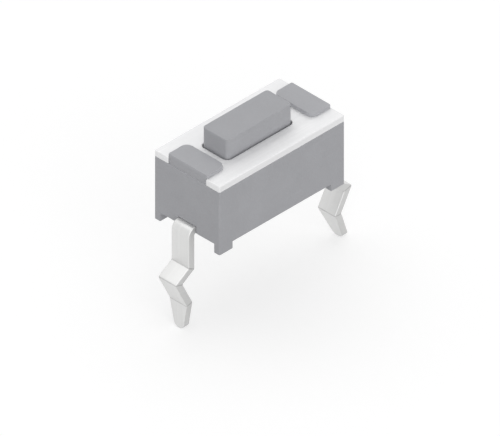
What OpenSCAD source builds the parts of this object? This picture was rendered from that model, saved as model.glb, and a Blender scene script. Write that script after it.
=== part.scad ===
// Tactile push button switch with a flat metal cover and two snap-in terminals.
// The origin is the middle of the body, in the plane of the board that its feet stand on.
// +X runs along the body towards the terminal that carries the dome's rim, +Y across it
// and +Z up through the button. Depths are measured down from the board's surface.

/* [Body] */
// Length of the body
body_l = 6.00; // [5.8:0.02:9]
// Width of the body
body_w = 3.13; // [2.9:0.01:4.5]
// Height of the cover's upper face above the board
body_h = 2.86; // [2.3:0.02:5]
// Radius of the upright corners of the body and of its cover
corner_r = 0.06; // [0.02:0.01:0.15]
// Gap between the board and the lower edge of the long sides
side_gap = 0.28; // [0.1:0.02:0.4]
// Gap between the board and the lower edge of the end faces
end_gap = 0.36; // [0.2:0.02:0.6]
// Length of a corner foot, along the body
foot_l = 0.65; // [0.3:0.05:1.2]
// Width of a corner foot, across the body
foot_w = 0.28; // [0.15:0.01:0.7]
// Radius of the cavity's upright corners
cavity_r = 0.30; // [0.1:0.05:0.45]
// Diameter of the round holes that the mould's pins leave under the lead frame
pin_hole_d = 0.50; // [0.3:0.05:0.7]

/* [Cover and its staked tabs] */
// Thickness of the metal cover
cover_t = 0.26; // [0.15:0.01:0.4]
// Wall between the cavity and the inner end of a staked tab
tab_wall = 0.16; // [0.1:0.02:0.4]
// Width of a staked tab
tab_w = 1.88; // [1:0.02:2.4]
// Height of a tab's upper face above the cover
tab_rise = 0.15; // [0.05:0.01:0.4]
// Radius of a tab's two inner corners
tab_r = 0.28; // [0.12:0.02:0.45]
// How far the staked head spreads over the cover beyond its post, and the radius of its outer corners
tab_lip = 0.06; // [0.02:0.01:0.1]
// How far the tab's outer face stands back from the end of the body
tab_setback = 0.03; // [0.01:0.01:0.1]
// Clearance round the post in the cover's notch
notch_gap = 0.02; // [0.01:0.01:0.05]

/* [Button] */
// Length of the button's key
key_l = 3.12; // [2.4:0.02:3.2]
// Width of the button's key
key_w = 1.21; // [0.8:0.01:1.5]
// Height of the key's upper face above the cover
key_rise = 0.78; // [0.4:0.02:6]
// Radius of the key's upright corners
key_r = 0.14; // [0.05:0.01:0.4]
// How far the key and its window stand off the body's middle, along the body
key_shift = -0.11; // [-0.12:0.01:0.12]
// Running clearance between the key and the cover's window
window_gap = 0.05; // [0.02:0.01:0.1]
// How far the flange reaches under the cover at each end of the window
flange_lip_l = 0.22; // [0.12:0.02:0.3]
// How far the flange reaches under the cover at each side of the window
flange_lip_w = 0.38; // [0.2:0.02:0.4]
// Thickness of the flange
flange_t = 0.45; // [0.3:0.05:0.6]
// Running clearance between the flange and the cavity's walls
guide_gap = 0.07; // [0.03:0.01:0.1]
// Play between the flange and the cover above it
rest_gap = 0.02; // [0.01:0.01:0.05]
// Diameter of the boss that presses the dome
boss_d = 1.00; // [0.6:0.05:1.4]
// Play between the boss and the dome
boss_gap = 0.02; // [0.01:0.01:0.03]
// Travel of the button
travel = 0.25; // [0.15:0.01:0.35]

/* [Snap dome] */
// Thickness of the dome's sheet
dome_t = 0.06; // [0.04:0.01:0.1]
// Clearance between the dome and the cavity's walls
dome_gap = 0.10; // [0.05:0.01:0.15]

/* [Lead frame] */
// Thickness of the strip
strip_t = 0.28; // [0.15:0.01:0.32]
// Width of a terminal
lead_w = 0.84; // [0.5:0.02:1]
// How far the strip steps up inside the end wall
step_up = 0.20; // [0.1:0.02:0.3]
// Distance of the step's outer end from the end of the body
step_in = 0.30; // [0.1:0.02:0.5]
// Width of the neck that leads to the centre contact
neck_w = 0.50; // [0.3:0.02:0.6]
// Diameter of the disc under the centre contact
disc_d = 0.84; // [0.6:0.02:0.96]
// Diameter of the raised centre contact
centre_pad_d = 0.56; // [0.3:0.02:0.6]
// Height of the centre contact above the cavity's floor
centre_pad_h = 0.06; // [0.03:0.01:0.1]
// Distance of each rim arm's middle from the body's middle plane
arm_y = 0.75; // [0.7:0.01:0.85]
// Width of a rim arm and of the bar that joins the arms
arm_w = 0.40; // [0.3:0.02:0.44]
// Diameter of the four raised pads under the dome's rim
rim_pad_d = 0.34; // [0.2:0.02:0.4]
// Height of the rim pads above the cavity's floor
rim_pad_h = 0.08; // [0.05:0.01:0.12]

/* [Terminal legs] */
// Inner radius of the bend beside the body
bend_r = 0.05; // [0.02:0.01:0.1]
// Radius on the outside of the lower bends
fold_r = 0.08; // [0.04:0.01:0.2]
// Radius in the crook of the lower bends
crook_r = 0.04; // [0.01:0.01:0.08]
// Depth at which a leg starts to lean outwards
lean_depth = 0.93; // [0.7:0.01:1.1]
// Depth of the widest point, which snaps in under the board
barb_depth = 1.35; // [1.2:0.01:1.7]
// Depth at which a leg starts to narrow
taper_depth = 2.44; // [1.9:0.02:2.8]
// Depth of the tips
tip_depth = 3.56; // [3:0.02:4.2]
// Radius of the tips, seen from the end of the body
tip_r = 0.25; // [0.15:0.01:0.25]

/* [Left terminal, distances beyond the end of the body] */
// Outer face of the upright part
left_leg_out = 0.33; // [0.3:0.01:1]
// Outer face at the widest point
left_barb_out = 0.98; // [0.8:0.01:1.6]
// Outer face at the throat
left_throat_out = 0.43; // [0.3:0.01:1.1]
// Depth of the throat
left_throat_depth = 2.46; // [2.1:0.02:2.8]
// Outer face at the tip
left_tip_out = 0.40; // [0.2:0.01:1.6]

/* [Right terminal, distances beyond the end of the body] */
// Outer face of the upright part
right_leg_out = 0.86; // [0.33:0.01:1]
// Outer face at the widest point
right_barb_out = 1.51; // [1.1:0.01:1.7]
// Outer face at the throat
right_throat_out = 0.99; // [0.4:0.01:1.1]
// Depth of the throat
right_throat_depth = 2.30; // [2.1:0.02:2.8]
// Outer face at the tip
right_tip_out = 1.55; // [0.4:0.01:1.7]

/* [Hidden] */
$fn = 48;
arc_steps = 8;
cut = 1;    // how far a cutting shape runs past what it cuts
lap = 0.01;    // how far joined shapes run into each other
PLASTIC = [0.63, 0.63, 0.65];
KEY_PLASTIC = [0.60, 0.60, 0.62];
STEEL = [0.93, 0.93, 0.92];
DOME_STEEL = [0.80, 0.80, 0.78];
PLATED = [0.88, 0.88, 0.87];

end_x = body_l / 2;
side_y = body_w / 2;
cover_z = body_h - cover_t;
window_l = key_l + 2 * window_gap;
window_w = key_w + 2 * window_gap;
flange_l = window_l + 2 * flange_lip_l;
flange_w = window_w + 2 * flange_lip_w;
cavity_l = flange_l + 2 * guide_gap;
cavity_w = flange_w + 2 * guide_gap;
tab_l = end_x - cavity_l / 2 - tab_wall;    // inwards from the end of the body
post_l = tab_l - tab_lip;
post_w = tab_w - 2 * tab_lip;
post_r = tab_r - tab_lip;

exit_top = end_gap + strip_t;
floor_z = exit_top + step_up;
rim_z = floor_z + rim_pad_h;
dome_l = cavity_l - 2 * dome_gap;
dome_w = cavity_w - 2 * dome_gap;
dome_rise = travel + centre_pad_h - rim_pad_h;
dome_r = (pow(dome_l / 2, 2) + pow(dome_rise, 2)) / (2 * dome_rise);
pad_inset = 0.06;    // from the dome's edge to the middle of a rim pad
arm_margin = 0.04;    // from a rim pad's edge to the arm's end
pad_reach = dome_l / 2 - pad_inset;
pad_x = sqrt(pow(pad_reach, 2) - pow(arm_y, 2));
arm_end = pad_x + rim_pad_d / 2 + arm_margin;
bar_x = pad_x - rim_pad_d / 2;
flange_top = cover_z - rest_gap;
boss_z = rim_z + dome_rise + dome_t + boss_gap;
step_out_x = end_x - step_in;
step_in_x = step_out_x - step_up;
leg_run = 0.3;    // spare length below the tip, cut off by the tip's own outline

function unit(v) = v / norm(v);

// The points of an arc of radius r that rounds the corner at b between a and c
function corner(a, b, c, r) =
    r <= 0 ? [b] :
    let (u = unit(a - b), v = unit(c - b), half = acos(u * v) / 2,
         mid = b + unit(u + v) * r / sin(half),
         from = b + u * r / tan(half) - mid, to = b + v * r / tan(half) - mid,
         start = atan2(from[1], from[0]), turn = atan2(to[1], to[0]) - start,
         sweep = turn > 180 ? turn - 360 : turn < -180 ? turn + 360 : turn)
    [for (i = [0:arc_steps]) let (a = start + sweep * i / arc_steps) mid + r * [cos(a), sin(a)]];

// A closed outline from points with a radius each, as [x, y, radius]
function rounded(points) =
    let (n = len(points))
    [for (i = [0:n - 1]) let (a = points[(i + n - 1) % n], b = points[i], c = points[(i + 1) % n])
        each corner([a[0], a[1]], [b[0], b[1]], [c[0], c[1]], b[2])];

// The point one strip thickness below the path's point b, whose neighbours are a and c
function beneath(a, b, c) =
    let (d = unit(b - a), e = unit(c - b), m = [-d[1], d[0]], n = [-e[1], e[0]])
    b - strip_t * (m + n) / (1 + m * n);

// Upper face of a strip from inside the body to x, each point with the bend's radius above and below
function upper_face(inner_x, x, r_above = 0, r_below = 0) =
    [[inner_x, floor_z, 0, 0], [step_in_x, floor_z, 0, 0], [step_out_x, exit_top, 0, 0],
     [x, exit_top, r_above, r_below]];

// Outer face of a terminal's leg, from below the bend beside the body to past the tip
function leg_face(leg, barb, throat, throat_depth, tip) =
    let (low = [end_x + throat, -throat_depth], end = [end_x + tip, -tip_depth],
         last = end + leg_run * unit(end - low))
    [[end_x + leg, -lean_depth, crook_r, fold_r], [end_x + barb, -barb_depth, fold_r, crook_r],
     [low[0], low[1], crook_r, fold_r], [last[0], last[1], 0, 0]];

module rounded_rect(l, w, r) {
    square([l, w - 2 * r], center = true);
    square([l - 2 * r, w], center = true);
    for (x = [-1, 1], y = [-1, 1])
        translate([x * (l / 2 - r), y * (w / 2 - r)]) circle(r);
}

// Half of a tab's outline: from x_in with corners of radius r to its square end at x_mid
module tab_half(x_in, x_mid, w, r) {
    translate([x_in + r, -w / 2]) square([x_mid - x_in - r, w]);
    translate([x_in, r - w / 2]) square([r + lap, w - 2 * r]);
    for (y = [-1, 1]) translate([x_in + r, y * (w / 2 - r)]) circle(r);
}

// The staked head's outline at the +X end. Its outer corners begin where the post's sides end.
module head_outline(x_in, x_out) {
    x_mid = (x_in + x_out) / 2;
    tab_half(x_in, x_mid + lap, tab_w, tab_r);
    mirror([1, 0]) tab_half(-x_out, -x_mid, tab_w, tab_lip);
}

module both_ends() {
    children();
    mirror([1, 0, 0]) children();
}

// Post that passes the cover's notch, and the head that is staked over its edge
module staked_tab() {
    translate([0, 0, cover_z - lap]) linear_extrude(cover_t + 2 * lap)
        tab_half(end_x - post_l, end_x - tab_setback, post_w, post_r);
    translate([0, 0, body_h]) linear_extrude(tab_rise)
        head_outline(end_x - tab_l, end_x - tab_setback);
}

module corner_feet() {
    linear_extrude(end_gap) intersection() {
        rounded_rect(body_l, body_w, corner_r);
        for (x = [-1, 1], y = [-1, 1])
            translate([x * (end_x - foot_l / 2), y * (side_y - foot_w / 2)])
                square([foot_l, foot_w], center = true);
    }
}

// Side view of a bent strip, swept across the body
module strip_profile(path) {
    n = len(path);
    p = [for (point = path) [point[0], point[1]]];
    lower = [for (i = [0:n - 1])
        beneath(i == 0 ? 2 * p[0] - p[1] : p[i - 1], p[i], i == n - 1 ? 2 * p[i] - p[i - 1] : p[i + 1])];
    outline = concat([for (i = [0:n - 1]) [p[i][0], p[i][1], path[i][2]]],
                     [for (i = [n - 1:-1:0]) [lower[i][0], lower[i][1], path[i][3]]]);
    rotate([90, 0, 0]) linear_extrude(body_w, center = true) polygon(rounded(outline));
}

// End view of a terminal: full width inside the body, then the leg with its tapered round tip
module tip_profile() {
    centre = tip_r - tip_depth;
    reach = norm([lead_w / 2, centre + taper_depth]);
    angle = atan2(-taper_depth - centre, lead_w / 2) - acos(tip_r / reach);
    touch = [tip_r * cos(angle), centre + tip_r * sin(angle)];
    rotate([90, 0, 90]) linear_extrude(2 * body_l, center = true) {
        translate([-side_y, end_gap - strip_t / 2]) square([body_w, body_h]);
        polygon([[-lead_w / 2, end_gap], [-lead_w / 2, -taper_depth], [-touch[0], touch[1]], [0, centre],
                 touch, [lead_w / 2, -taper_depth], [lead_w / 2, end_gap]]);
        translate([0, centre]) circle(tip_r);
    }
}

module lead_plan(x_in) {
    translate([x_in, -lead_w / 2]) square([body_l, lead_w]);
}

// Strip to the centre contact, seen from above: it narrows inside the end wall
module centre_plan() {
    lead_plan(step_in_x);
    translate([0, -neck_w / 2]) square([step_out_x, neck_w]);
    circle(d = disc_d);
}

// Forked strip that passes the centre contact on both sides, seen from above
module rim_plan() {
    lead_plan(bar_x);
    translate([bar_x, -arm_y - arm_w / 2]) square([arm_w, 2 * arm_y + arm_w]);
    for (y = [-arm_y, arm_y])
        translate([-arm_end, y - arm_w / 2]) square([arm_end + bar_x + arm_w / 2, arm_w]);
}

// Strip with the given plan, bent to the given side view
module bent_strip(path) {
    intersection() {
        strip_profile(path);
        translate([0, 0, -2 * tip_depth]) linear_extrude(4 * tip_depth) children();
    }
}

// Space that the strip takes up in the moulding, out through the end face
module strip_space(inner_x) {
    bent_strip(upper_face(inner_x, end_x + cut)) children();
}

module pad(x, y, d, h) {
    translate([x, y, floor_z - strip_t / 2]) cylinder(h = strip_t / 2 + h, d = d);
}

module centre_terminal() {
    path = concat(upper_face(-disc_d / 2, end_x + left_leg_out, bend_r + strip_t, bend_r),
                  leg_face(left_leg_out, left_barb_out, left_throat_out, left_throat_depth, left_tip_out));
    color(PLATED) mirror([1, 0, 0]) {
        intersection() {
            bent_strip(path) centre_plan();
            tip_profile();
        }
        pad(0, 0, centre_pad_d, centre_pad_h);
    }
}

module rim_terminal() {
    path = concat(upper_face(-arm_end, end_x + right_leg_out, bend_r + strip_t, bend_r),
                  leg_face(right_leg_out, right_barb_out, right_throat_out, right_throat_depth,
                           right_tip_out));
    color(PLATED) {
        intersection() {
            bent_strip(path) rim_plan();
            tip_profile();
        }
        for (x = [-pad_x, pad_x], y = [-arm_y, arm_y]) pad(x, y, rim_pad_d, rim_pad_h);
    }
}

// Spherical sheet, round in plan with its long sides trimmed, that snaps down onto the contact
module contact_dome() {
    middle = rim_z + dome_rise - dome_r;
    color(DOME_STEEL) intersection() {
        difference() {
            translate([0, 0, middle]) sphere(dome_r + dome_t);
            translate([0, 0, middle]) sphere(dome_r);
        }
        translate([0, 0, rim_z]) intersection() {
            cylinder(h = dome_rise + 2 * dome_t, d = dome_l);
            translate([-dome_l, -dome_w / 2, 0]) cube([2 * dome_l, dome_w, dome_rise + 2 * dome_t]);
        }
    }
}

// Key, the flange that the cover holds down and the boss that presses the dome
module plunger() {
    color(KEY_PLASTIC) {
        translate([0, 0, flange_top - flange_t]) linear_extrude(flange_t)
            rounded_rect(flange_l, flange_w, cavity_r - guide_gap);
        translate([key_shift, 0, flange_top - flange_t / 2])
            linear_extrude(body_h + key_rise - flange_top + flange_t / 2)
            rounded_rect(key_l, key_w, key_r);
        translate([0, 0, boss_z])
            cylinder(h = flange_top - flange_t / 2 - boss_z, d = boss_d);
    }
}

module cover_plate() {
    color(STEEL) translate([0, 0, cover_z]) linear_extrude(cover_t) difference() {
        rounded_rect(body_l, body_w, corner_r);
        translate([key_shift, 0]) rounded_rect(window_l, window_w, key_r + window_gap);
        both_ends() tab_half(end_x - post_l - notch_gap, end_x + cut,
                             post_w + 2 * notch_gap, post_r + notch_gap);
    }
}

// Moulded body: its floor is moulded round both halves of the lead frame
module base_housing() {
    color(PLASTIC) difference() {
        union() {
            translate([0, 0, side_gap]) linear_extrude(cover_z - side_gap)
                rounded_rect(body_l, body_w, corner_r);
            corner_feet();
            both_ends() staked_tab();
        }
        both_ends() translate([end_x - foot_l, foot_w - side_y, -cut])
            cube([foot_l + cut, body_w - 2 * foot_w, end_gap + cut]);
        translate([0, 0, floor_z]) linear_extrude(cover_z - floor_z + cut)
            rounded_rect(cavity_l, cavity_w, cavity_r);
        for (x = [-cavity_l / 4, bar_x + arm_w / 2])
            translate([x, 0, -cut]) cylinder(h = floor_z - strip_t + cut, d = pin_hole_d);
        mirror([1, 0, 0]) strip_space(-disc_d / 2) centre_plan();
        strip_space(-arm_end) rim_plan();
    }
}

base_housing();
cover_plate();
plunger();
contact_dome();
centre_terminal();
rim_terminal();
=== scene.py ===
import math

import bmesh
import bpy
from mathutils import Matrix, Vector


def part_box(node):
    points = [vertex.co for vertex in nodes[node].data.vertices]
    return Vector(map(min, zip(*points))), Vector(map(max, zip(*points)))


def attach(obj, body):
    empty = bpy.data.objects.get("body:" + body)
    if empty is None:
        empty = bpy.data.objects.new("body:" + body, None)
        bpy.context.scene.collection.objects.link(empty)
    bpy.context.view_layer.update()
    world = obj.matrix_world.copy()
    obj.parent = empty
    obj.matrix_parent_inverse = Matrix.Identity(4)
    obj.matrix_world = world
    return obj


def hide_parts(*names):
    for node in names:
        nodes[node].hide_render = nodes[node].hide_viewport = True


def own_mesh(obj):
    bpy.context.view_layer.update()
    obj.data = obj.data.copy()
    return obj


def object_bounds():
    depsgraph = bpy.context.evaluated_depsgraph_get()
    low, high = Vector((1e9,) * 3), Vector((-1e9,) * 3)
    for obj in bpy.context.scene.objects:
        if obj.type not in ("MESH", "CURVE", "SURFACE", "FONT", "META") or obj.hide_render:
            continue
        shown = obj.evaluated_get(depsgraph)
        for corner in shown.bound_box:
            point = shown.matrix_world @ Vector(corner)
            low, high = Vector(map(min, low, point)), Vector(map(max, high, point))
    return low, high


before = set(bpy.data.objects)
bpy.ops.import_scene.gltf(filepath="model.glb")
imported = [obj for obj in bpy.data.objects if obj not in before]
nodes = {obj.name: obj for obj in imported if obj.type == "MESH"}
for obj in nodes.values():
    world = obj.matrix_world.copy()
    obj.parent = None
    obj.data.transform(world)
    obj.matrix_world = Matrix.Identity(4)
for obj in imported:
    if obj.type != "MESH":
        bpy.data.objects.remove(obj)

mm = 0.001
cadLow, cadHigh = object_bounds()
coverLow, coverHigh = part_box("cover_plate")
keyLow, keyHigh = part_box("plunger")


def addObject(name, data):
    made = bpy.data.objects.new(name, data)
    bpy.context.scene.collection.objects.link(made)
    return made


# Camera: a straight isometric view with no perspective
cameraView = {
    "azimuth": -45.0,
    "elevation": 35.264,
    "aim": (0.0127 * mm, -0.0127 * mm, -0.698 * mm),  # what the middle of the picture shows
    "widthSeen": 16.958 * mm,
    "distance": 60 * mm,
    "clip": (1 * mm, 1000 * mm),
}


def placeCamera(s):
    data = bpy.data.cameras.new("mainCamera")
    data.type = "ORTHO"
    data.ortho_scale = s["widthSeen"]
    data.clip_start, data.clip_end = s["clip"]
    camera = addObject("mainCamera", data)
    azimuth, elevation = math.radians(s["azimuth"]), math.radians(s["elevation"])
    level = math.cos(elevation)
    back = Vector((math.sin(azimuth) * level, -math.cos(azimuth) * level, math.sin(elevation)))
    camera.location = Vector(s["aim"]) + back * s["distance"]
    camera.rotation_euler = (-back).to_track_quat("-Z", "Y").to_euler()
    bpy.context.scene.camera = camera


placeCamera(cameraView)
print("camera placed")


# Small helpers for node trees
def feed(tree, node, inputs):
    # an input is linked where a socket is given for it, and set where a plain value is
    for name, value in inputs.items():
        if isinstance(value, bpy.types.NodeSocket):
            tree.links.new(value, node.inputs[name])
        else:
            node.inputs[name].default_value = value
    return node


def addNode(tree, kind, inputs=None, **settings):
    node = tree.nodes.new(kind)
    for name, value in settings.items():
        setattr(node, name, value)
    return feed(tree, node, inputs or {})


def maths(tree, operation, *values, clamp=False):
    node = addNode(tree, "ShaderNodeMath", dict(enumerate(values)), operation=operation, use_clamp=clamp)
    return node.outputs[0]


def vectorMaths(tree, operation, *values):
    node = addNode(tree, "ShaderNodeVectorMath", dict(enumerate(values)), operation=operation)
    return node.outputs["Value" if operation in ("DOT_PRODUCT", "LENGTH") else "Vector"]


def axes(tree, vector):
    return addNode(tree, "ShaderNodeSeparateXYZ", {0: vector}).outputs


def remap(tree, value, fromMin, fromMax, toMin, toMax):
    return addNode(tree, "ShaderNodeMapRange",
                   {"Value": value, "From Min": fromMin, "From Max": fromMax,
                    "To Min": toMin, "To Max": toMax}).outputs[0]


def spread(tree, noiseValue, low, high):
    # nearly all of a noise lies between 0.3 and 0.7
    return remap(tree, noiseValue, 0.3, 0.7, low, high)


def weigh(tree, first, second, share):
    # a share of the first value, and the rest of the second
    return maths(tree, "MULTIPLY_ADD", first, share, maths(tree, "MULTIPLY", second, 1 - share))


def mix(tree, kind, factor, a, b):
    return addNode(tree, "ShaderNodeMix", {"Factor": factor, "A": a, "B": b},
                   data_type=kind).outputs["Result"]


def brightness(tree, colour, value):
    return addNode(tree, "ShaderNodeHueSaturation", {"Color": colour, "Value": value}).outputs[0]


def noise(tree, place, scale, detail=3.0, roughness=0.55):
    return addNode(tree, "ShaderNodeTexNoise",
                   {"Vector": place, "Scale": scale, "Detail": detail, "Roughness": roughness}).outputs[0]


def placeInMm(tree):
    # where on the piece a point is, in millimetres, which is the scale that all the grain is given in
    coords = addNode(tree, "ShaderNodeTexCoord").outputs["Object"]
    return vectorMaths(tree, "MULTIPLY", coords, (1 / mm, 1 / mm, 1 / mm))


def newGroup(name, inputs, outputs):
    tree = bpy.data.node_groups.new(name, "ShaderNodeTree")
    for label, value in inputs.items():
        kind = "NodeSocketVector" if isinstance(value, tuple) else "NodeSocketFloat"
        socket = tree.interface.new_socket(label, in_out="INPUT", socket_type=kind)
        socket.default_value = value
    for label in outputs:
        tree.interface.new_socket(label, in_out="OUTPUT", socket_type="NodeSocketFloat")
    return tree, tree.nodes.new("NodeGroupInput").outputs, tree.nodes.new("NodeGroupOutput")


# Floor, world and lamps
stageLook = {
    "floorColour": (0.66, 0.66, 0.66, 1),
    "floorLift": 0.44,       # what the floor shows by itself, beside its own shade
    "floorRoughness": 0.9,
    "floorSize": 0.6,
    "worldStrength": 0.62,
    "lamps": {
        "backSun": {"strength": 0.54, "angle": 80, "from": (0.15, 0.35, 1.1)},
        "frontSun": {"strength": 0.77, "angle": 60, "from": (-0.57, -1.0, 0.42)},
    },
}
white = (1, 1, 1, 1)


def seenDirectly(tree):
    # 1 for what the camera, a reflection or a look through glass sees, 0 for light on the object
    rays = addNode(tree, "ShaderNodeLightPath").outputs
    seen = maths(tree, "MAXIMUM", rays["Is Camera Ray"], rays["Is Glossy Ray"])
    return maths(tree, "MAXIMUM", seen, rays["Is Transmission Ray"])


def makeWorld(s):
    world = bpy.data.worlds.new("paleRoom")
    bpy.context.scene.world = world
    world.use_nodes = True
    tree = world.node_tree
    strength = remap(tree, seenDirectly(tree), 0, 1, s["worldStrength"], 1)
    feed(tree, tree.nodes["Background"], {"Color": white, "Strength": strength})


def makeFloor(s):
    half, level = s["floorSize"] / 2, cadLow.z
    mesh = bpy.data.meshes.new("floor")
    corners = [(x * half, y * half, level) for x, y in ((-1, -1), (1, -1), (1, 1), (-1, 1))]
    mesh.from_pydata(corners, [], [(0, 1, 2, 3)])
    floor = addObject("floor", mesh)
    paper = bpy.data.materials.new("floorPaper")
    paper.use_nodes = True
    tree = paper.node_tree
    feed(tree, tree.nodes["Principled BSDF"], {
        "Base Color": s["floorColour"],
        "Roughness": s["floorRoughness"],
        "Specular IOR Level": 0.0,
        "Emission Color": white,
        "Emission Strength": maths(tree, "MULTIPLY", seenDirectly(tree), s["floorLift"]),
    })
    mesh.materials.append(paper)


def makeLamps(s):
    for name, lamp in s["lamps"].items():
        data = bpy.data.lights.new(name, "SUN")
        data.energy = lamp["strength"]
        data.angle = math.radians(lamp["angle"])
        addObject(name, data).rotation_euler = Vector(lamp["from"]).to_track_quat("Z", "Y").to_euler()


makeWorld(stageLook)
makeFloor(stageLook)
makeLamps(stageLook)
bpy.context.scene.view_settings.view_transform = "Standard"
print("stage and lamps made")


# Effects that more than one finish uses. Sizes in them are in millimetres.
mouldSkinLook = {
    "pitSoftness": 0.6,
    "pitDepth": 0.6,            # beside the fine noise
    "flowShare": 0.7,           # the rest of the tone is a salt-like speckle
    "saltScale": 0.6,           # of the grain's scale
    "fibreScale": 0.5,          # of the grain's scale
    "fibreEdge": (0.12, 0.28),
    "fibreRarity": 0.84,
}


def makeMouldSkin(s):
    # fine pitted skin that a spark-eroded mould leaves, its slow change of tone, and stray glints of fibre
    tree, given, end = newGroup("mouldSkin", {"Grain": 24.0, "Flow": 1.1}, ["Height", "Tone", "FibreGlint"])
    place = placeInMm(tree)
    saltScale = maths(tree, "MULTIPLY", given["Grain"], s["saltScale"])
    fibreScale = maths(tree, "MULTIPLY", given["Grain"], s["fibreScale"])
    fine = noise(tree, place, given["Grain"], detail=3.0, roughness=0.6)
    slow = noise(tree, place, given["Flow"], detail=4.0, roughness=0.6)
    salt = noise(tree, place, saltScale, detail=2.0, roughness=0.7)
    pits = addNode(tree, "ShaderNodeTexVoronoi",
                   {"Vector": place, "Scale": given["Grain"], "Smoothness": s["pitSoftness"]},
                   feature="SMOOTH_F1").outputs["Distance"]
    cells = addNode(tree, "ShaderNodeTexVoronoi", {"Vector": place, "Scale": fibreScale}).outputs
    near = remap(tree, cells["Distance"], *s["fibreEdge"], 1, 0)
    rare = maths(tree, "GREATER_THAN", cells["Color"], s["fibreRarity"])
    feed(tree, end, {
        "Height": maths(tree, "MULTIPLY_ADD", pits, s["pitDepth"], fine),
        "Tone": weigh(tree, slow, salt, s["flowShare"]),
        "FibreGlint": maths(tree, "MULTIPLY", near, rare),
    })
    return tree


rolledGrainLook = {
    "bandScale": 0.22,          # of the lines' fineness
    "patchScale": 1.3,
    "bandShare": 0.5,           # the rest of the dullness is in patches
}


def makeRolledGrain(s):
    # fine lines that rolling leaves along a sheet. Stretch is small along the lines and large across them.
    tree, given, end = newGroup("rolledGrain", {"Stretch": (0.3, 8.0, 8.0), "Fineness": 4.0},
                                ["Height", "Tone", "Dull"])
    place = placeInMm(tree)
    stretched = vectorMaths(tree, "MULTIPLY", place, given["Stretch"])
    bandScale = maths(tree, "MULTIPLY", given["Fineness"], s["bandScale"])
    bands = noise(tree, stretched, bandScale)
    feed(tree, end, {
        "Height": noise(tree, stretched, given["Fineness"], detail=5.0, roughness=0.65),
        "Tone": bands,
        "Dull": weigh(tree, bands, noise(tree, place, s["patchScale"]), s["bandShare"]),
    })
    return tree


edgeRubLook = {
    "samples": 6,
    "turn": (0.995, 0.90),      # cosine to the true normal where the rub starts, and where it is full
    "grain": 9.0,
    "fullFrom": 0.75,           # noise above this leaves the rub whole, and noise below Sparse hides it
}


def makeEdgeRub(s):
    # 1 where handling has rubbed an edge, broken up by a fine noise
    tree, given, end = newGroup("edgeRub", {"Width": 0.05, "Sparse": 0.35}, ["Rub"])
    trueNormal = addNode(tree, "ShaderNodeNewGeometry").outputs["True Normal"]
    rounded = addNode(tree, "ShaderNodeBevel", {"Radius": maths(tree, "MULTIPLY", given["Width"], mm)},
                      samples=s["samples"]).outputs[0]
    edge = remap(tree, vectorMaths(tree, "DOT_PRODUCT", rounded, trueNormal), *s["turn"], 0, 1)
    grain = noise(tree, placeInMm(tree), s["grain"], detail=4.0, roughness=0.6)
    broken = remap(tree, grain, given["Sparse"], s["fullFrom"], 0, 1)
    feed(tree, end, {"Rub": maths(tree, "MULTIPLY", edge, broken, clamp=True)})
    return tree


handlingLook = {
    "hairTurns": (0.5, 2.1, 3.9),
    "hairLean": 0.3,            # of the turn, about Y
    "hairStretch": (0.35, 9, 9),
    "hairEdge": (0.70, 0.74),
}


def makeHandling(s):
    # faint smears and hair scratches that handling leaves
    tree, given, end = newGroup("handling", {"SmearSize": 1.2, "Scratches": 0.5}, ["Smear", "Scratch"])
    place = placeInMm(tree)
    smearScale = maths(tree, "DIVIDE", 1.0, given["SmearSize"])
    hairs = 0.0
    for turn in s["hairTurns"]:
        turned = addNode(tree, "ShaderNodeMapping",
                         {"Vector": place, "Rotation": (turn, s["hairLean"] * turn, turn),
                          "Scale": s["hairStretch"]}).outputs[0]
        hair = remap(tree, noise(tree, turned, 1.0, detail=2.0, roughness=0.4), *s["hairEdge"], 0, 1)
        hairs = maths(tree, "MAXIMUM", hairs, hair)
    feed(tree, end, {
        "Smear": noise(tree, place, smearScale, detail=4.0, roughness=0.6),
        "Scratch": maths(tree, "MULTIPLY", hairs, given["Scratches"], clamp=True),
    })
    return tree


mouldSkin = makeMouldSkin(mouldSkinLook)
rolledGrain = makeRolledGrain(rolledGrainLook)
edgeRub = makeEdgeRub(edgeRubLook)
handling = makeHandling(handlingLook)
print("shared effects made")


def effect(tree, group, **values):
    return addNode(tree, "ShaderNodeGroup", values, node_tree=group).outputs


def newFinish(name, metallic):
    material = bpy.data.materials.new(name)
    material.use_nodes = True
    shader = material.node_tree.nodes["Principled BSDF"]
    shader.inputs["Metallic"].default_value = metallic
    return material, material.node_tree, shader


def wear(tree, s):
    # where the finish is rubbed, and the marks that hands leave on it
    rub = effect(tree, edgeRub, Width=s["rubWidth"], Sparse=s["rubSparse"])["Rub"]
    return rub, effect(tree, handling, SmearSize=s["smearSize"], Scratches=s["scratches"])


def toneOf(tree, s, noiseValue):
    return spread(tree, noiseValue, 1 - s["toneRange"] / 2, 1 + s["toneRange"] / 2)


def tint(tree, s, tone, rub):
    # the colour with its tone, and paler where it is rubbed
    toned = brightness(tree, (*s["colour"], 1), tone)
    return mix(tree, "RGBA", maths(tree, "MULTIPLY", rub, s["rubAmount"]), toned, (*s["rubColour"], 1))


def bump(tree, height, depth):
    return addNode(tree, "ShaderNodeBump",
                   {"Height": height, "Distance": depth * mm, "Strength": 1.0}).outputs[0]


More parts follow.
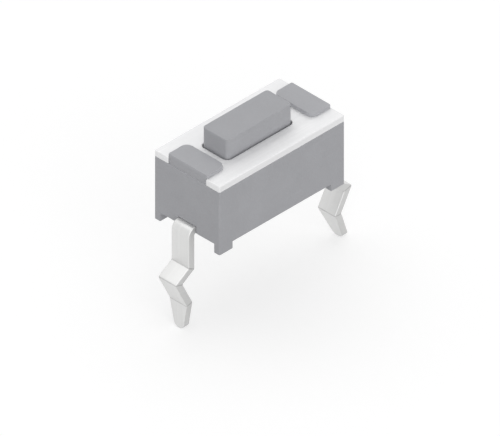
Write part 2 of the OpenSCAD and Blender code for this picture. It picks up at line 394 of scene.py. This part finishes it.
# Moulded plastic of the body and of the key
plasticWear = {
    "rubWidth": 0.06,
    "rubSparse": 0.35,
    "rubSmoother": 0.08,
    "smearSize": 1.2,
    "scratches": 0.4,
    "scratchTone": 0.08,
    "fibreGlintTone": 0.10,
}
housingFinish = {
    "name": "housingPlastic",
    "colour": (0.410, 0.413, 0.434),
    "toneRange": 0.08,
    "rubColour": (0.52, 0.525, 0.54),
    "rubAmount": 0.45,
    "roughness": (0.54, 0.62),
    "grain": 22.0,
    "flow": 1.1,
    "skinDepth": 0.012,
    "pressed": {"roughness": 0.38, "skin": 0.35, "fade": 0.08},
    **plasticWear,
}
keyFinish = {
    "name": "keyPlastic",
    "colour": (0.390, 0.393, 0.413),
    "toneRange": 0.08,
    "rubColour": (0.50, 0.505, 0.52),
    "rubAmount": 0.5,
    "roughness": (0.42, 0.54),
    "grain": 30.0,
    "flow": 1.1,
    "skinDepth": 0.007,
    **plasticWear,
}


def pressHeads(tree, s, rough, height):
    # above the cover stand only the staked heads, which the hot tool leaves smoother
    top = coverHigh.z / mm
    pressed = remap(tree, axes(tree, placeInMm(tree))["Z"], top, top + s["fade"], 0, 1)
    skinLeft = remap(tree, pressed, 0, 1, 1, s["skin"])
    return mix(tree, "FLOAT", pressed, rough, s["roughness"]), maths(tree, "MULTIPLY", height, skinLeft)


def makePlastic(s):
    material, tree, shader = newFinish(s["name"], metallic=0.0)
    skin = effect(tree, mouldSkin, Grain=s["grain"], Flow=s["flow"])
    rub, hands = wear(tree, s)
    # painted highlight: stray fibres glint as paler specks that are painted into the colour
    tone = maths(tree, "MULTIPLY_ADD", skin["FibreGlint"], s["fibreGlintTone"], toneOf(tree, s, skin["Tone"]))
    tone = maths(tree, "MULTIPLY_ADD", hands["Scratch"], s["scratchTone"], tone)
    rough = spread(tree, hands["Smear"], *s["roughness"])
    rough = maths(tree, "MULTIPLY_ADD", rub, -s["rubSmoother"], rough)
    height = skin["Height"]
    if "pressed" in s:
        rough, height = pressHeads(tree, s["pressed"], rough, height)
    feed(tree, shader, {
        "Base Color": tint(tree, s, tone, rub),
        "Roughness": rough,
        "Normal": bump(tree, height, s["skinDepth"]),
    })
    return material


# Bare and plated sheet metal
metalWear = {
    "rubWidth": 0.04,
    "rubSparse": 0.35,
    "smearSize": 1.2,
    "smearRougher": 0.06,
    "scratches": 0.6,
    "scratchTone": 0.05,
}
coverFinish = {
    "name": "coverSteel",
    "colour": (0.785, 0.785, 0.79),
    "toneRange": 0.05,
    "rubColour": (0.93, 0.93, 0.93),
    "rubAmount": 0.6,
    "roughness": (0.62, 0.74),
    "stretch": (0.25, 9.0, 9.0),
    "fineness": 4.0,
    "grainDepth": 0.0016,
    **metalWear,
}
leadFinish = {
    "name": "platedLead",
    "colour": (0.72, 0.72, 0.715),
    "toneRange": 0.07,
    "rubColour": (0.92, 0.92, 0.915),
    "rubAmount": 0.6,
    "roughness": (0.32, 0.46),
    "stretch": (0.3, 10.0, 0.3),
    "fineness": 4.0,
    "grainDepth": 0.0016,
    "sheared": {"darker": 0.14, "rougher": 0.16, "facing": (0.75, 0.9)},
    # the bends are darker partly by dull stretch marks of the plating and partly by painted shade along each
    # fold
    "bends": {"darker": 0.30, "rougher": 0.20, "width": 0.07, "reach": 0.5,
              "stretch": (3.0, 14.0, 3.0), "grain": 3.0, "broken": (0.35, 0.6), "least": 0.45},
    **metalWear,
}
domeFinish = {
    "name": "domeSteel",
    "colour": (0.72, 0.72, 0.71),
    "toneRange": 0.05,
    "rubColour": (0.85, 0.85, 0.85),
    "rubAmount": 0.4,
    "roughness": (0.20, 0.32),
    "stretch": (0.3, 10.0, 10.0),
    "fineness": 5.0,
    "grainDepth": 0.0012,
    **metalWear,
}
# Outer faces of the legs in side view, in mm, which place the stretch marks and painted shade of the bends
legPaths = (
    ((-3.33, 0), (-3.33, -0.93), (-3.98, -1.35), (-3.43, -2.46), (-3.40, -3.56)),
    ((3.86, 0), (3.86, -0.93), (4.51, -1.35), (3.99, -2.30), (4.55, -3.56)),
)


def shearedEdge(tree, s):
    # 1 on the faces that the punch has cut, which look across the strip
    normal = addNode(tree, "ShaderNodeNewGeometry").outputs["True Normal"]
    across = axes(tree, vectorMaths(tree, "ABSOLUTE", normal))["Y"]
    return remap(tree, across, *s["facing"], 0, 1)


def bendMarksAndShade(tree, s):
    # fine stretch marks where the plated strip is bent, and painted shade that darkens each fold, broken up
    # by a noise
    place = placeInMm(tree)
    inSideView = (1, 0, 1)
    marks = 0.0
    for path in legPaths:
        for before, at, after in zip(path, path[1:], path[2:]):
            along = (Vector(at) - Vector(before)).normalized() + (Vector(after) - Vector(at)).normalized()
            along.normalize()
            away = vectorMaths(tree, "SUBTRACT", place, (at[0], 0, at[1]))
            away = vectorMaths(tree, "MULTIPLY", away, inSideView)
            off = maths(tree, "ABSOLUTE", vectorMaths(tree, "DOT_PRODUCT", away, (along.x, 0, along.y)))
            near = maths(tree, "LESS_THAN", vectorMaths(tree, "LENGTH", away), s["reach"])
            mark = maths(tree, "MULTIPLY", remap(tree, off, 0, s["width"] / 2, 1, 0), near)
            marks = maths(tree, "MAXIMUM", marks, mark)
    grain = noise(tree, vectorMaths(tree, "MULTIPLY", place, s["stretch"]), s["grain"])
    return maths(tree, "MULTIPLY", marks, remap(tree, grain, *s["broken"], s["least"], 1), clamp=True)


def makeMetal(s):
    material, tree, shader = newFinish(s["name"], metallic=1.0)
    grain = effect(tree, rolledGrain, Stretch=s["stretch"], Fineness=s["fineness"])
    rub, hands = wear(tree, s)
    tone = maths(tree, "MULTIPLY_ADD", hands["Scratch"], s["scratchTone"], toneOf(tree, s, grain["Tone"]))
    colour = tint(tree, s, tone, rub)
    rough = spread(tree, grain["Dull"], *s["roughness"])
    rough = maths(tree, "MULTIPLY_ADD", hands["Smear"], s["smearRougher"], rough)
    for name, findWearAndShade in (("sheared", shearedEdge), ("bends", bendMarksAndShade)):
        if name in s:
            # cut faces are darker by their own finish; bends are darker partly by stretch marks and partly
            # by painted shade
            wornAndShaded = findWearAndShade(tree, s[name])
            colour = brightness(tree, colour, maths(tree, "MULTIPLY_ADD", wornAndShaded, -s[name]["darker"], 1.0))
            rough = maths(tree, "MULTIPLY_ADD", wornAndShaded, s[name]["rougher"], rough)
    feed(tree, shader, {
        "Base Color": colour,
        "Roughness": rough,
        "Normal": bump(tree, grain["Height"], s["grainDepth"]),
    })
    return material


housingPlastic = makePlastic(housingFinish)
keyPlastic = makePlastic(keyFinish)
coverSteel = makeMetal(coverFinish)
platedLead = makeMetal(leadFinish)
domeSteel = makeMetal(domeFinish)
print("finishes made")


# Edges of the carried-over pieces are rounded by modifiers. Which edges, and how much of the full
# rounding each takes, is worked out from their angle and from the last zone that they lie in.
everywhere = (-20 * mm, 20 * mm)
cavityPlay = 0.12 * mm


def zone(share, x=everywhere, y=everywhere, z=everywhere):
    return {"share": share, "low": Vector((x[0], y[0], z[0])), "high": Vector((x[1], y[1], z[1]))}


leadDressing = {"finish": platedLead, "edge": 0.03 * mm, "segments": 3, "share": 1.0, "zones": []}
dressing = {
    "base_housing": {
        "finish": housingPlastic, "edge": 0.06 * mm, "segments": 4, "share": 0.6,
        "zones": [
            # the upright corners of the body are the roundest
            zone(1.0, z=(0.8 * mm, 2.2 * mm)),
            # inside the cavity, where the key slides
            zone(0.3, x=(keyLow.x - cavityPlay, keyHigh.x + cavityPlay),
                 y=(keyLow.y - cavityPlay, keyHigh.y + cavityPlay), z=(0.5 * mm, coverLow.z + 0.01 * mm)),
            # the ends of the mould's pin holes, which stay sharp
            zone(0.0, x=(-2.2 * mm, 2.2 * mm), y=(-0.4 * mm, 0.4 * mm), z=(0.25 * mm, 0.59 * mm)),
            # the narrow ledge outside a post
            zone(0.3, y=(-0.5 * mm, 0.5 * mm), z=(coverLow.z - 0.02 * mm, coverLow.z + 0.02 * mm)),
            # the upright edges of a post, which stand in the cover's notch and run on into the head
            zone(0.0, z=(coverLow.z + 0.05 * mm, coverHigh.z - 0.05 * mm)),
            # the lower edge of a staked head, which lies on the cover
            zone(0.1, z=(coverHigh.z - 0.02 * mm, coverHigh.z + 0.02 * mm)),
        ],
    },
    "centre_terminal": leadDressing,
    "rim_terminal": leadDressing,
}
sharpFrom = math.radians(35)
repair = {
    "weldBefore": 0.0005 * mm,
    "flatWithin": math.radians(0.5),
    "weldAfter": 0.001 * mm,
}


def inZone(tree, place, s):
    # 1 inside the box, 0 outside
    away = vectorMaths(tree, "SUBTRACT", place, (s["low"] + s["high"]) / 2)
    away = vectorMaths(tree, "ABSOLUTE", away)
    x, y, z = axes(tree, vectorMaths(tree, "DIVIDE", away, (s["high"] - s["low"]) / 2))
    return maths(tree, "LESS_THAN", maths(tree, "MAXIMUM", maths(tree, "MAXIMUM", x, y), z), 1.0)


def newShapeGroup(name):
    tree = bpy.data.node_groups.new(name, "GeometryNodeTree")
    for way in ("INPUT", "OUTPUT"):
        tree.interface.new_socket("Geometry", in_out=way, socket_type="NodeSocketGeometry")
    start, end = tree.nodes.new("NodeGroupInput"), tree.nodes.new("NodeGroupOutput")
    return tree, start.outputs[0], end.inputs[0]


def makeEdgeChoice(name, s):
    # how much of the full rounding each outer edge takes
    tree, given, result = newShapeGroup(name + "Edges")
    place = addNode(tree, "GeometryNodeInputPosition").outputs[0]
    bend = addNode(tree, "GeometryNodeInputMeshEdgeAngle").outputs["Signed Angle"]
    share = s["share"]
    for part in s["zones"]:
        inside = inZone(tree, place, part)
        outside = maths(tree, "SUBTRACT", 1.0, inside)
        share = maths(tree, "MULTIPLY_ADD", inside, part["share"], maths(tree, "MULTIPLY", outside, share))
    weight = maths(tree, "MULTIPLY", share, maths(tree, "GREATER_THAN", bend, sharpFrom))
    store = addNode(tree, "GeometryNodeStoreNamedAttribute",
                    {"Geometry": given, "Name": "bevel_weight_edge", "Value": weight},
                    data_type="FLOAT", domain="EDGE")
    tree.links.new(store.outputs[0], result)
    return tree


def makeCreases():
    # edges that are still sharp, such as inner corners, stay sharp in the shading
    tree, given, result = newShapeGroup("creases")
    bend = addNode(tree, "GeometryNodeInputMeshEdgeAngle").outputs["Unsigned Angle"]
    sharp = addNode(tree, "FunctionNodeCompare", {"A": bend, "B": sharpFrom},
                    data_type="FLOAT", operation="GREATER_THAN").outputs[0]
    shade = addNode(tree, "GeometryNodeSetShadeSmooth",
                    {"Geometry": given, "Selection": sharp, "Shade Smooth": False}, domain="EDGE")
    tree.links.new(shade.outputs[0], result)
    return tree


creases = makeCreases()


def shadeEvenly(piece):
    piece.modifiers.new("creases", "NODES").node_group = creases
    shade = piece.modifiers.new("shade", "WEIGHTED_NORMAL")
    shade.keep_sharp = True
    piece.data.polygons.foreach_set("use_smooth", [True] * len(piece.data.polygons))


def dress(name, piece, s):
    piece.data.materials.clear()
    piece.data.materials.append(s["finish"])
    weld = piece.modifiers.new("weld", "WELD")
    weld.merge_threshold = repair["weldBefore"]
    flat = piece.modifiers.new("flat", "DECIMATE")
    flat.decimate_type = "DISSOLVE"
    flat.angle_limit = repair["flatWithin"]
    piece.modifiers.new("choice", "NODES").node_group = makeEdgeChoice(name, s)
    edge = piece.modifiers.new("edge", "BEVEL")
    edge.width = s["edge"]
    edge.segments = s["segments"]
    edge.limit_method = "WEIGHT"
    edge.use_clamp_overlap = False
    clean = piece.modifiers.new("clean", "WELD")
    clean.merge_threshold = repair["weldAfter"]
    shadeEvenly(piece)


for name, s in dressing.items():
    dress(name, nodes[name], s)
print("pieces dressed")


# Pieces made of rings, stacked from low to high. Their sizes are in mm and are those of the solids that they
# replace. An outline is given by its corners as (x, y, radius), and is drawn in by an inset, so that rounded
# edges follow it exactly.
smallestRadius = 1e-4
samePoint = 0.0002 * mm


def outline(corners, inset, steps):
    points = []
    for i, (x, y, radius) in enumerate(corners):
        before, at = Vector(corners[i - 1][:2]), Vector((x, y))
        after = Vector(corners[(i + 1) % len(corners)][:2])
        a, b = (at - before).normalized(), (after - at).normalized()
        inA, inB = Vector((-a.y, a.x)), Vector((-b.y, b.x))
        turn = 1 if a.x * b.y - a.y * b.x > 0 else -1
        at = at + (inA + inB) * inset / (1 + inA.dot(inB))
        r = max(radius - turn * inset, smallestRadius)
        middle = at + turn * (inA + inB) * r / (1 + inA.dot(inB))
        for k in range(steps + 1):
            points.append(middle + (-turn * inA).slerp(-turn * inB, k / steps) * r)
    return points


def quarter(edge, segments):
    # inset and distance from the end, along a quarter round
    return [(edge * (1 - math.sin(t)), edge * (1 - math.cos(t)))
            for t in (math.pi / 2 * k / segments for k in range(segments + 1))]


def addRings(mesh, rings):
    # rings of points at their heights, joined by faces. Returns the loops of edges at the two ends.
    loops = [[mesh.verts.new((p.x * mm, p.y * mm, z * mm)) for p in points] for z, points in rings]
    for lower, upper in zip(loops, loops[1:]):
        for k in range(len(lower)):
            j = (k + 1) % len(lower)
            mesh.faces.new((lower[k], lower[j], upper[j], upper[k]))
    return [[mesh.edges.get((loop[k - 1], loop[k])) for k in range(len(loop))]
            for loop in (loops[0], loops[-1])]


def finishPiece(name, mesh, finish, body, replaced):
    bmesh.ops.remove_doubles(mesh, verts=mesh.verts, dist=samePoint)
    bmesh.ops.recalc_face_normals(mesh, faces=mesh.faces)
    data = bpy.data.meshes.new(name)
    mesh.to_mesh(data)
    mesh.free()
    piece = addObject(name, data)
    data.materials.append(finish)
    shadeEvenly(piece)
    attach(piece, body)
    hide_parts(replaced)
    return piece


def roundedBox(length, width, radius, shift=0.0):
    return [(shift + x * length / 2, y * width / 2, radius)
            for x, y in ((-1, -1), (1, -1), (1, 1), (-1, 1))]


# Cover: one flat stamping, with its upper edges drawn down by the punch
cover = {
    "cornerRadius": 0.06,
    "notchIn": 0.90, "notchHalf": 0.90, "notchRadius": 0.24, "notchMouth": 0.03,
    "window": (3.22, 1.31, 0.19), "windowShift": -0.11,
    "upperEdge": 0.045, "lowerEdge": 0.03, "segments": 5, "steps": 10,
}


def makeCover(s):
    x, y = coverHigh.x / mm, coverHigh.y / mm
    notchX, notchY = x - s["notchIn"], s["notchHalf"]
    half = [(x, -y, s["cornerRadius"]), (x, -notchY, s["notchMouth"]), (notchX, -notchY, s["notchRadius"]),
            (notchX, notchY, s["notchRadius"]), (x, notchY, s["notchMouth"]), (x, y, s["cornerRadius"])]
    plate = half + [(-cornerX, -cornerY, radius) for cornerX, cornerY, radius in half]
    window = roundedBox(*s["window"], s["windowShift"])
    bottom, top = coverLow.z / mm, coverHigh.z / mm
    levels = [(bottom + up, inset) for inset, up in quarter(s["lowerEdge"], s["segments"])]
    levels += [(top - down, inset) for inset, down in reversed(quarter(s["upperEdge"], s["segments"]))]
    mesh = bmesh.new()
    outer, inner = (addRings(mesh, [(z, outline(corners, side * inset, s["steps"])) for z, inset in levels])
                    for corners, side in ((plate, 1), (window, -1)))
    for around, within in zip(outer, inner):
        bmesh.ops.triangle_fill(mesh, use_beauty=True, edges=around + within)
    return finishPiece("coverSheet", mesh, coverSteel, "switch_body", "cover_plate")


# Button: the key with softly rounded edges, its flange and the boss under it, one moulding
button = {
    "key": (3.12, 1.21, 0.14), "keyShift": -0.11, "keyEdge": 0.045,
    "flangeThick": 0.45, "flangePlay": 0.02, "flangeRadius": 0.23, "flangeEdge": 0.03,
    "boss": 1.00, "bossEdge": 0.08, "segments": 5, "steps": 10,
}


def makeButton(s):
    low, high = keyLow / mm, keyHigh / mm
    flange = (high.x - low.x, high.y - low.y, s["flangeRadius"])
    boss = (s["boss"], s["boss"], s["boss"] / 2)
    key, shift = s["key"], s["keyShift"]
    bossRound, flangeRound, keyRound = (quarter(s[edge], s["segments"])
                                        for edge in ("bossEdge", "flangeEdge", "keyEdge"))
    flangeTop = coverLow.z / mm - s["flangePlay"]
    flangeBottom = flangeTop - s["flangeThick"]
    levels = [(low.z + up, boss, 0, inset) for inset, up in bossRound]
    levels += [(flangeBottom, boss, 0, 0)]
    levels += [(flangeBottom + up, flange, 0, inset) for inset, up in flangeRound]
    levels += [(flangeTop - down, flange, 0, inset) for inset, down in reversed(flangeRound)]
    levels += [(flangeTop, key, shift, 0)]
    levels += [(high.z - down, key, shift, inset) for inset, down in reversed(keyRound)]
    mesh = bmesh.new()
    rings = [(z, outline(roundedBox(*box, off), inset, s["steps"])) for z, box, off, inset in levels]
    for loop in addRings(mesh, rings):
        bmesh.ops.triangle_fill(mesh, use_beauty=True, edges=loop)
    return finishPiece("buttonKey", mesh, keyPlastic, "button", "plunger")


# Dome: thin sprung sheet, round in plan with trimmed long sides, built at rest, as it lies before the button
# flattens it
dome = {
    "sheet": 0.06, "rings": 14, "around": 72, "joint": "plunger_press", "flattened": 0.19,
}


def domeLoops(mesh, s, reach, trim, middle, radius):
    # one face of the sheet, as loops of points from its top outwards
    loops = []
    for k in range(1, s["rings"] + 1):
        loop = []
        for j in range(s["around"]):
            t = 2 * math.pi * j / s["around"]
            across = abs(math.sin(t))
            edge = reach if reach * across <= trim else trim / across
            d = edge * k / s["rings"]
            z = middle + math.sqrt(radius ** 2 - d ** 2)
            loop.append(mesh.verts.new((d * math.cos(t) * mm, d * math.sin(t) * mm, z * mm)))
        loops.append(loop)
    return loops


def makeDome(s):
    low, high = (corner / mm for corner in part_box("contact_dome"))
    reach, trim, sheet = high.x, high.y, s["sheet"]
    rise = high.z - low.z - sheet
    ball = (reach ** 2 + rise ** 2) / (2 * rise)
    middle = low.z + rise - ball
    mesh = bmesh.new()
    rims = []
    for radius in (ball, ball + sheet):
        loops = domeLoops(mesh, s, reach, trim, middle, radius)
        top = mesh.verts.new((0, 0, (middle + radius) * mm))
        for j in range(s["around"]):
            i = (j + 1) % s["around"]
            mesh.faces.new((top, loops[0][j], loops[0][i]))
            for inner, outer in zip(loops, loops[1:]):
                mesh.faces.new((inner[j], outer[j], outer[i], inner[i]))
        rims.append(loops[-1])
    for j in range(s["around"]):
        i = (j + 1) % s["around"]
        mesh.faces.new((rims[0][j], rims[0][i], rims[1][i], rims[1][j]))
    piece = finishPiece("snapDome", mesh, domeSteel, "switch_body", "contact_dome")
    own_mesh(piece)
    return piece


makeCover(cover)
makeButton(button)
makeDome(dome)
print("cover, button and dome made")
